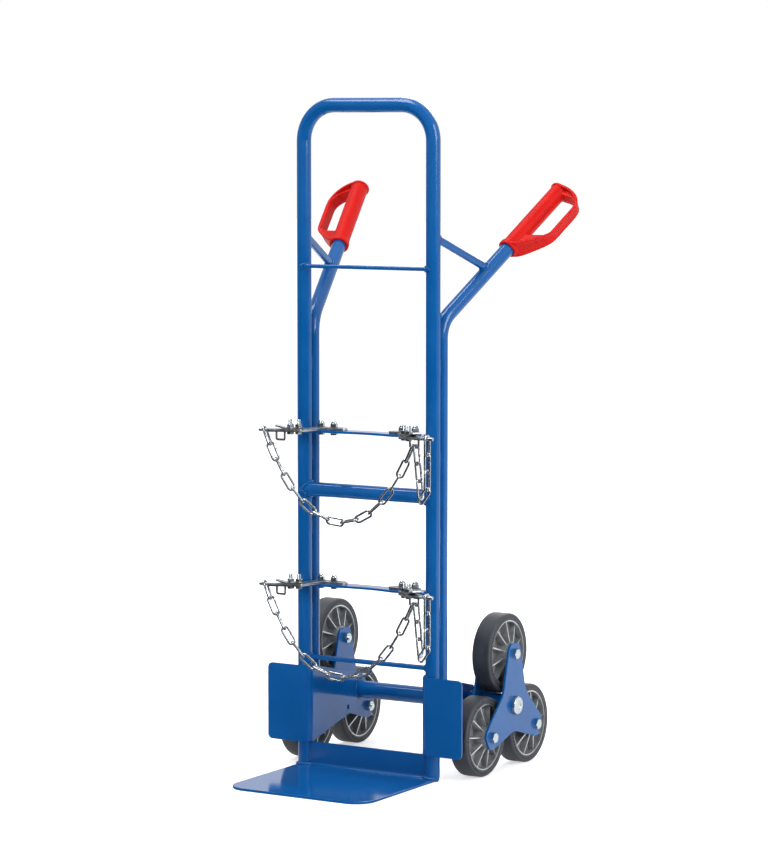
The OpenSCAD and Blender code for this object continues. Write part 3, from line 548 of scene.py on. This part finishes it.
# %% The chains
def link_places(node):
    """Matrices of the links of a packed chain."""
    chain = merged_copy(node, "links")
    bpy.ops.object.mode_set(mode="EDIT")
    bpy.ops.mesh.separate(type="LOOSE")
    bpy.ops.object.mode_set(mode="OBJECT")
    places = []
    for part in list(bpy.context.selected_objects):
        points = np.array([v.co for v in part.data.vertices])
        middle = (points.min(axis=0) + points.max(axis=0)) / 2
        spread, axes = np.linalg.eigh(np.cov((points - middle).T))
        length, width = (Vector(axes[:, i]) for i in (2, 1))
        length, width = (a if max(a, key=abs) > 0 else -a for a in (length, width))
        turn = Matrix((width, length, width.cross(length))).transposed()
        places.append(Matrix.Translation(middle) @ turn.to_4x4())
        bpy.data.objects.remove(part)
    return places


for node in ("upper_chain", "lower_chain", "upper_chain_tail", "lower_chain_tail"):
    places = link_places(node)
    fit(set_out(node + "_links", twin(link, "link"), places), body_of[node], "chain_zinc", node)
    print(node, len(places), "links")
bpy.data.objects.remove(link)

# %% [markdown]
# ## Bolts and nuts
#
# The heads and nuts are hexagons whose corners are turned off by a cone of thirty degrees, which leaves the small
# curved facets that every hexagon head shows. A six-sided cylinder cut by such a cone gives just that. The clamp
# bolts stick out of their nuts, so their ends carry a thread: rings of points, every second one drawn in. A real
# thread climbs, but at this pitch nobody sees the difference.

# %% Helpers for fasteners
FLAT_SHARE, THREAD_CORE = 0.475, 0.86


def hexagon(across, height, ends=(1,)):
    """A hexagon standing on the origin, its corners turned off at the top, or at both ends."""
    bpy.ops.object.select_all(action="DESELECT")
    bpy.ops.mesh.primitive_cylinder_add(vertices=6, radius=across / math.sqrt(3) * MM, depth=height * MM,
                                        location=(0, 0, height / 2 * MM))
    made = bpy.context.object
    set_place(made)
    flat = FLAT_SHARE * across
    for end in ends:
        radii = (flat + math.sqrt(3) * height, flat)[::end]
        bpy.ops.mesh.primitive_cone_add(vertices=64, radius1=radii[0] * MM, radius2=radii[1] * MM,
                                        depth=height * MM, location=(0, 0, height / 2 * MM))
        cone = bpy.context.object
        apply_modifier(made, "BOOLEAN", operation="INTERSECT", object=cone, solver="EXACT")
        bpy.data.objects.remove(cone)
    bpy.ops.object.shade_smooth_by_angle(angle=FACET_ANGLE)
    return made


def thread(diameter, length, pitch):
    """A threaded end standing on the origin."""
    bpy.ops.object.select_all(action="DESELECT")
    bpy.ops.mesh.primitive_cylinder_add(vertices=28, radius=diameter / 2 * MM, depth=length * MM,
                                        location=(0, 0, length / 2 * MM))
    made = bpy.context.object
    set_place(made)
    turns = round(length / pitch)
    ring = length / (2 * turns)
    bpy.ops.object.mode_set(mode="EDIT")
    pick("EDGE", lambda p: abs(p.z - length / 2 * MM) < NEAR * MM)
    bpy.ops.mesh.subdivide(number_cuts=2 * turns - 1)
    pick("VERT", lambda p: round(p.z / MM / ring) % 2 == 1 or p.z > (length - NEAR) * MM)
    bpy.ops.transform.resize(value=(THREAD_CORE, THREAD_CORE, 1), center_override=(0, 0, 0))
    bpy.ops.object.mode_set(mode="OBJECT")
    bpy.ops.object.shade_smooth_by_angle(angle=FACET_ANGLE)
    return made


def lifted(obj, height):
    """Moves a shape up its own axis."""
    obj.data.transform(Matrix.Translation((0, 0, height * MM)))
    return obj


# %% Bolts of the rests and clamps
BOLT_AF, BOLT_D, BOLT_PITCH, HEAD_H, NUT_H, CAP_H = 13, 8, 1.25, 5.3, 6.5, 8
DOME_SHARE = 0.46
REST_BOLT_X = (-109, -79, 79, 109)
ARM_LEVELS = (685, 376)
ARM_T, REST_T, CLAMP_T, THREAD_END = 5, 5, 3, 10

bpy.ops.mesh.primitive_uv_sphere_add(segments=32, ring_count=16, radius=DOME_SHARE * BOLT_AF * MM,
                                     location=(0, 0, CAP_H * MM))
dome = bpy.context.object
set_place(dome)
bpy.ops.object.shade_smooth()
cap = hexagon(BOLT_AF, CAP_H)
apply_modifier(cap, "BOOLEAN", operation="UNION", object=dome, solver="EXACT")
bpy.data.objects.remove(dome)
head = hexagon(BOLT_AF, HEAD_H)
head.data.transform(Matrix.Rotation(math.pi, 4, "X"))
rest_bolt = joined("rest_bolt", [lifted(cap, REST_T + ARM_T), head])
spots = [Matrix.Translation(Vector((x, FRAME_Y, z - REST_T)) * MM) for z in ARM_LEVELS for x in REST_BOLT_X]
fit(set_out("rest_bolt_set", rest_bolt, spots), "frame", "bright_zinc", "rest_bolts")
print("bolts of the rests", len(spots))

head = hexagon(BOLT_AF, HEAD_H)
head.data.transform(Matrix.Rotation(math.pi, 4, "X"))
nut = lifted(hexagon(BOLT_AF, NUT_H, (1, -1)), ARM_T + CLAMP_T)
end = lifted(thread(BOLT_D, THREAD_END, BOLT_PITCH), ARM_T + CLAMP_T + NUT_H)
clamp_bolt = joined("clamp_bolt", [nut, head, end])
ELBOW, LEG_TURN, BOLT_GAP = (122, -64), math.atan2(-23, 46), 16.5
spots = [
    Matrix.Translation((s * (ELBOW[0] + i * BOLT_GAP * math.cos(LEG_TURN)) * MM,
                        (FRAME_Y + ELBOW[1] + i * BOLT_GAP * math.sin(LEG_TURN)) * MM, z * MM))
    @ Matrix.Rotation(s * LEG_TURN, 4, "Z")
    for z in ARM_LEVELS for s in (-1, 1) for i in (0, 1)
]
fit(set_out("clamp_bolt_set", clamp_bolt, spots), "frame", "bright_zinc", "clamp_bolts")
print("bolts of the clamps", len(spots))

# %% Bolts of the wheels
WHEEL_AF, WHEEL_BOLT_D, WHEEL_PITCH = 19, 12, 1.5
WHEEL_HEAD_H, WHEEL_NUT_H, BOLT_OUT = 7.6, 9.5, 3
STAR_FACE = 35.3

for side, s in (("left", -1), ("right", 1)):
    head = lifted(hexagon(WHEEL_AF, WHEEL_HEAD_H), STAR_FACE)
    nut = hexagon(WHEEL_AF, WHEEL_NUT_H, (1, -1))
    end = lifted(thread(WHEEL_BOLT_D, BOLT_OUT, WHEEL_PITCH), WHEEL_NUT_H)
    inside = lifted(joined("nut", [nut, end]), STAR_FACE)
    inside.data.transform(Matrix.Rotation(math.pi, 4, "X"))
    wheel_bolt = joined("wheel_bolt", [head, inside])
    turn = Matrix.Rotation(s * math.pi / 2, 4, "Y")
    spots = [Matrix.Translation(wheel_centre(side, place)) @ turn for place in WHEEL_ANGLES]
    fit(set_out(f"wheel_bolt_set_{side}", wheel_bolt, spots), f"star_{side}", "bright_zinc", f"wheel_bolts_{side}")
    print("bolts of the", side, "star", len(spots))

# %% [markdown]
# ## Axle caps
#
# The caps on the axle ends are turned discs with a round shoulder and a shallow dish in the face. A cylinder has
# its outer edge bevelled round, and its face is inset twice and pushed in.

# %% Axle caps
CAP_R, CAP_T, CAP_X = 18, 9, 235.9
SHOULDER_R, DISH_R, DISH_WALL, DISH_DEPTH = 2.4, 9, 0.8, 0.9

bpy.ops.object.select_all(action="DESELECT")
bpy.ops.mesh.primitive_cylinder_add(vertices=72, radius=CAP_R * MM, depth=CAP_T * MM,
                                    location=(0, 0, CAP_T / 2 * MM))
cap = bpy.context.object
set_place(cap)
bpy.ops.object.mode_set(mode="EDIT")
pick("EDGE", lambda p: p.z > (CAP_T - NEAR) * MM)
bpy.ops.mesh.bevel(offset=SHOULDER_R * MM, segments=5, affect="EDGES")
pick("FACE", lambda p: p.z > (CAP_T - NEAR) * MM)
bpy.ops.mesh.inset(thickness=(CAP_R - SHOULDER_R - DISH_R) * MM)
bpy.ops.mesh.inset(thickness=DISH_WALL * MM)
bpy.ops.transform.translate(value=(0, 0, -DISH_DEPTH * MM))
bpy.ops.object.mode_set(mode="OBJECT")
bpy.ops.object.shade_smooth_by_angle(angle=FACET_ANGLE)
spots = [Matrix.Translation(Vector((s * CAP_X, AXLE_Y, AXLE_Z)) * MM) @ Matrix.Rotation(s * math.pi / 2, 4, "Y")
         for s in (-1, 1)]
fit(set_out("axle_cap_pair", cap, spots), "frame", "bright_zinc", "axle_caps")
print("axle caps", len(spots))

# %% [markdown]
# ## Weld beads
#
# The frame is welded before it is coated, so every joint shows a bead under the blue: a rounded seam with fine
# ripples, one for each drop of the weld pool. A bead follows the line where two tubes meet. That line can be
# worked out: it is where a straight line on one tube's skin enters the other tube. A curve along it gets a round
# section whose radius rises and falls with the ripples, with larger lumps where the hand slowed, and is then made a
# mesh.

# %% Helpers for seams
# Length of a ripple in millimetres, points along it, and the shares that ripples and lumps add to the thickness
RIPPLE, RIPPLE_POINTS = 2.6, 4
RIPPLE_SHARE, LUMP_SHARE = 0.2, 0.16
# Points over which a bead runs out at its ends
RUN_OUT = 5


def saddle(start, along, radius, base, upright, base_radius, steps=72):
    """Points where a tube from start meets another tube, all in millimetres."""
    along, upright = Vector(along).normalized(), Vector(upright).normalized()
    side = along.orthogonal().normalized()
    other = along.cross(side)
    points = []
    for i in range(steps):
        turn = math.tau * i / steps
        p = Vector(start) + radius * (math.cos(turn) * side + math.sin(turn) * other)
        gap = (p - Vector(base)) - (p - Vector(base)).dot(upright) * upright
        run = along - along.dot(upright) * upright
        a, b, c = run.dot(run), gap.dot(run), gap.dot(gap) - base_radius ** 2
        points.append(p + along * (-b - math.sqrt(max(b * b - a * c, 0))) / a)
    return points + points[:1]


def arc(centre, radius, first, last, steps=48):
    """Points of a level arc, in millimetres, between two angles in degrees."""
    turns = [math.radians(first + (last - first) * i / steps) for i in range(steps + 1)]
    return [Vector(centre) + radius * Vector((math.cos(t), math.sin(t), 0)) for t in turns]


def evenly(points, step):
    """The same path with a point every so many millimetres."""
    path = [points[0]]
    left = step
    for a, b in zip(points, points[1:]):
        length = (b - a).length
        while left <= length:
            path.append(a.lerp(b, left / length))
            left += step
        left -= length
    return path


def bead(name, seams, body="frame"):
    """One piece of all the beads in a list of paths with their thickness, in millimetres."""
    curve = bpy.data.curves.new(name, "CURVE")
    curve.dimensions = "3D"
    curve.bevel_depth = MM
    curve.bevel_resolution = 2
    curve.use_fill_caps = True
    for points, thick in seams:
        path = evenly(points, RIPPLE / RIPPLE_POINTS)
        spline = curve.splines.new("POLY")
        spline.points.add(len(path) - 1)
        for i, (p, dot) in enumerate(zip(path, spline.points)):
            dot.co = (p.x * MM, (p.y + FRAME_Y) * MM, p.z * MM, 1)
            ends = min(1, (1 + min(i, len(path) - 1 - i)) / RUN_OUT)
            lump = 1 + LUMP_SHARE * math.sin(2.3 * i) * math.sin(0.41 * i)
            ripple = 1 - RIPPLE_SHARE * (i % RIPPLE_POINTS) / (RIPPLE_POINTS - 1)
            dot.radius = thick * ends * lump * ripple
    made = bpy.data.objects.new(name, curve)
    bpy.context.scene.collection.objects.link(made)
    only(made)
    bpy.ops.object.convert(target="MESH")
    made = bpy.context.object
    close_up(made)
    bpy.ops.object.shade_smooth()
    fit(made, body, "blue_paint")
    print(name, len(made.data.polygons), "faces")


# %% Beads of the frame
UPRIGHT_X, TUBE = 149, 14.5
PROUD = 0.7
UP = (0, 0, 1)
# Y, height and radius of each cross member, and the thickness of its beads
CROSS_MEMBERS = ((-10.5, 1011, 4, 2.4), (0, 564, TUBE, 3.2), (0, 224, 5, 2.6))
FLANGE_TOP, UPSTAND = 208, (-5.8, 8, 50)
STITCH_LEVELS, STITCH_LENGTH = (96, 300, 470, 620, 800), 34
STITCH_X, STITCH_Y = (-6.4, 6.4), 14.6
cross, feet, plates, stitches = [], [], [], []
for s in (-1, 1):
    leg = (s * UPRIGHT_X, 0, 0)
    for y, z, radius, thick in CROSS_MEMBERS:
        cross.append((saddle((0, y, z), (s, 0, 0), radius + PROUD, leg, UP, TUBE + PROUD), thick))
    feet.append((arc((leg[0], 0, 5.8), TUBE + 1.2, 90 + s * 88, 90 + s * 232), 4.6))
    inner = s * (UPRIGHT_X - 14.2)
    feet.append(([Vector((inner, UPSTAND[0], z)) for z in UPSTAND[1:]], 2.2))
    for z in ARM_LEVELS:
        for face in (z + 0.6, z - REST_T - 0.6):
            plates.append((arc((leg[0], 0, face), TUBE + 1, 90 + s * 30, 90 + s * 158), 2.2))
    plates.append((arc((leg[0], 0, FLANGE_TOP + 0.6), TUBE + 1.4, 90 + s * 90, 90 + s * 178), 2.4))
    for z in STITCH_LEVELS:
        for x in STITCH_X:
            ends = [Vector((leg[0] + x, STITCH_Y, end)) for end in (z, z + STITCH_LENGTH)]
            stitches.append((ends, 3.0))
bead("cross_member_beads", cross)
bead("foot_beads", feet)
bead("plate_beads", plates)
bead("handle_stitches", stitches)

# %% Beads of the handles, the axle and the stars
BRACE, BRACE_TOP, BRACE_REACH = 8, 1075, 168
WEB_FACES, AXLE_TUBE = (128.9, 134.7), 17.5
braces, axle_rings = [], []
for s in (-1, 1):
    corner = Vector((s * HANDLE_CORNER[0], *HANDLE_CORNER[1:]))
    handle = Vector((s * math.sin(lean) * math.sin(splay), math.sin(lean) * math.cos(splay), math.cos(lean)))
    top, end = Vector((s * UPRIGHT_X, 0, BRACE_TOP)), corner + handle * BRACE_REACH
    middle = (top + end) / 2
    braces.append((saddle(middle, top - end, BRACE + PROUD, top, UP, TUBE + PROUD), 2.2))
    braces.append((saddle(middle, end - top, BRACE + PROUD, corner, handle, TUBE + PROUD), 2.2))
    for x in WEB_FACES:
        ring = arc((0, 0, 0), AXLE_TUBE + PROUD, 0, 360, 60)
        axle_rings.append(([Vector((s * x, AXLE_Y - FRAME_Y + p.x, AXLE_Z + p.y)) for p in ring], 2.2))
bead("brace_beads", braces)
bead("axle_tube_beads", axle_rings)

# %% [markdown]
# ## Floor, light and background
#
# The photograph is a cut-out on white with hardly any shadow. The floor is a wide white sheet. For the camera and
# for reflections it glows a little below white and adds its own shading, so that it comes out white where the
# light reaches it and keeps the soft shadow under the wheels and the plate. Far off, where the lamps no longer
# reach, it glows more, so that no horizon shows. Reflections see a weaker glow, and only behind the front of the
# trolley. In front of it they see a dark floor, which keeps the blue of the front faces as deep as in the photograph.

# %% Floor
FLOOR_GLOW = (0.56, 0.8)
GLOW_FROM, GLOW_TO = 0.8, 3.5
MIRRORED = 0.7
SHEET_FRONT = (-0.1, 0.25)
FLOOR_SIZE, FLOOR_DROP = 60, 0.0006
WHITE_SHEET, DARK_FLOOR = "#f0f0f0", "#303030"

bpy.ops.object.select_all(action="DESELECT")
bpy.ops.mesh.primitive_plane_add(size=FLOOR_SIZE, location=(0, 0, -FLOOR_DROP))
floor = bpy.context.object
floor.name = "floor"


def make_floor_white():
    """A white sheet that glows for the camera and, more weakly, for reflections."""
    material = bpy.data.materials.new("floor_white")
    material.use_nodes = True
    tree = material.node_tree
    tree.nodes.clear()
    ray = add(tree, "ShaderNodeLightPath")
    spot = add(tree, "ShaderNodeTexCoord").outputs["Object"]
    place = add(tree, "ShaderNodeSeparateXYZ", {0: spot})
    away = add(tree, "ShaderNodeVectorMath", {0: spot}, operation="LENGTH")
    level = add(tree, "ShaderNodeMapRange", {"Value": away.outputs["Value"], "From Min": GLOW_FROM,
                                             "From Max": GLOW_TO, "To Min": FLOOR_GLOW[0],
                                             "To Max": FLOOR_GLOW[1]})
    sheet = add(tree, "ShaderNodeMapRange", {"Value": place.outputs["Y"], "From Min": SHEET_FRONT[0],
                                             "From Max": SHEET_FRONT[1]})
    shiny = add(tree, "ShaderNodeMath", {0: ray.outputs["Is Glossy Ray"], 1: sheet.outputs[0]}, operation="MULTIPLY")
    faint = add(tree, "ShaderNodeMath", {0: shiny.outputs[0], 1: MIRRORED}, operation="MULTIPLY")
    seen = add(tree, "ShaderNodeMath", {0: ray.outputs["Is Camera Ray"], 1: faint.outputs[0]}, operation="MAXIMUM")
    share = add(tree, "ShaderNodeMath", {0: seen.outputs[0], 1: level.outputs[0]}, operation="MULTIPLY")
    bare = add(tree, "ShaderNodeMath", {0: ray.outputs["Is Glossy Ray"], 1: shiny.outputs[0]}, operation="SUBTRACT")
    tone = add(tree, "ShaderNodeMix", {"Factor": bare.outputs[0], "A": colour(WHITE_SHEET),
                                       "B": colour(DARK_FLOOR)}, data_type="RGBA")
    matte = add(tree, "ShaderNodeBsdfDiffuse", {"Color": tone.outputs["Result"]})
    glow = add(tree, "ShaderNodeEmission", {"Color": (1, 1, 1, 1), "Strength": share.outputs[0]})
    both = add(tree, "ShaderNodeAddShader", {0: matte.outputs[0], 1: glow.outputs[0]})
    add(tree, "ShaderNodeOutputMaterial", {"Surface": both.outputs[0]})
    return material


floor.data.materials.append(make_floor_white())
print("floor of", FLOOR_SIZE, "m")

# %% [markdown]
# ## Room and lamps
#
# The room is white for the camera and gives a soft even light. Glossy faces see it darker in front of the trolley and
# white behind it, like a studio with a lit backdrop, which gives the tubes and the wire their dark and light stripes.
# Four large lamps shape the rest. The front lamp stays out of the reflections, because it would wash out the thin
# links against the white.

# %% World and lamps
BACKDROP_SIDE, BACKDROP_EDGE = (0.45, 0.89, 0.0), (-0.25, 0.15)
ROOM_DARK, ROOM_SOFT = 0.3, 0.36


def light_world():
    """Soft light from all sides, with a dark front and a white back in reflections."""
    world = bpy.data.worlds.new("white_studio")
    bpy.context.scene.world = world
    world.use_nodes = True
    tree = world.node_tree
    tree.nodes.clear()
    ray = add(tree, "ShaderNodeLightPath")
    seen = add(tree, "ShaderNodeMath", {0: ray.outputs["Is Camera Ray"], 1: ray.outputs["Is Transmission Ray"]},
               operation="MAXIMUM")
    heading = add(tree, "ShaderNodeVectorMath", {0: add(tree, "ShaderNodeTexCoord").outputs["Generated"],
                                                 1: BACKDROP_SIDE}, operation="DOT_PRODUCT")
    drop = add(tree, "ShaderNodeMapRange", {"Value": heading.outputs["Value"], "From Min": BACKDROP_EDGE[0],
                                            "From Max": BACKDROP_EDGE[1], "To Min": ROOM_DARK, "To Max": 1.0})
    soft = add(tree, "ShaderNodeBackground", {"Color": (1, 1, 1, 1), "Strength": ROOM_SOFT})
    shiny = add(tree, "ShaderNodeBackground", {"Color": (1, 1, 1, 1), "Strength": drop.outputs[0]})
    white = add(tree, "ShaderNodeBackground", {"Color": (1, 1, 1, 1), "Strength": 1.0})
    lit = add(tree, "ShaderNodeMixShader", {0: ray.outputs["Is Glossy Ray"], 1: soft.outputs[0],
                                            2: shiny.outputs[0]})
    both = add(tree, "ShaderNodeMixShader", {0: seen.outputs[0], 1: lit.outputs[0], 2: white.outputs[0]})
    add(tree, "ShaderNodeOutputWorld", {"Surface": both.outputs[0]})


def lamp(name, at, look_at, size, watts):
    """A rectangular lamp turned to a point, all in metres and watts."""
    bpy.ops.object.light_add(type="AREA", location=at)
    made = bpy.context.object
    made.name = name
    made.data.shape = "RECTANGLE"
    made.data.size, made.data.size_y = size
    made.data.energy = watts
    made.rotation_euler = (Vector(look_at) - Vector(at)).to_track_quat("-Z", "Y").to_euler()
    return made


light_world()
AIM = (0, 0.1, 0.65)
lamp("key_lamp", (4.6, -0.6, 2.6), AIM, (1.8, 3.0), 140)
front = lamp("front_lamp", (1.6, -5.2, 2.8), AIM, (1.6, 1.6), 72)
front.visible_glossy = False
lamp("back_lamp", (-1.0, 4.5, 3.0), AIM, (3.0, 1.5), 70)
lamp("top_lamp", (-1.1, -0.6, 4.2), AIM, (2.0, 2.0), 108)

# %% [markdown]
# ## Finish
#
# The picture is shown through the standard view transform.

# %% Finish
bpy.context.scene.view_settings.view_transform = "Standard"
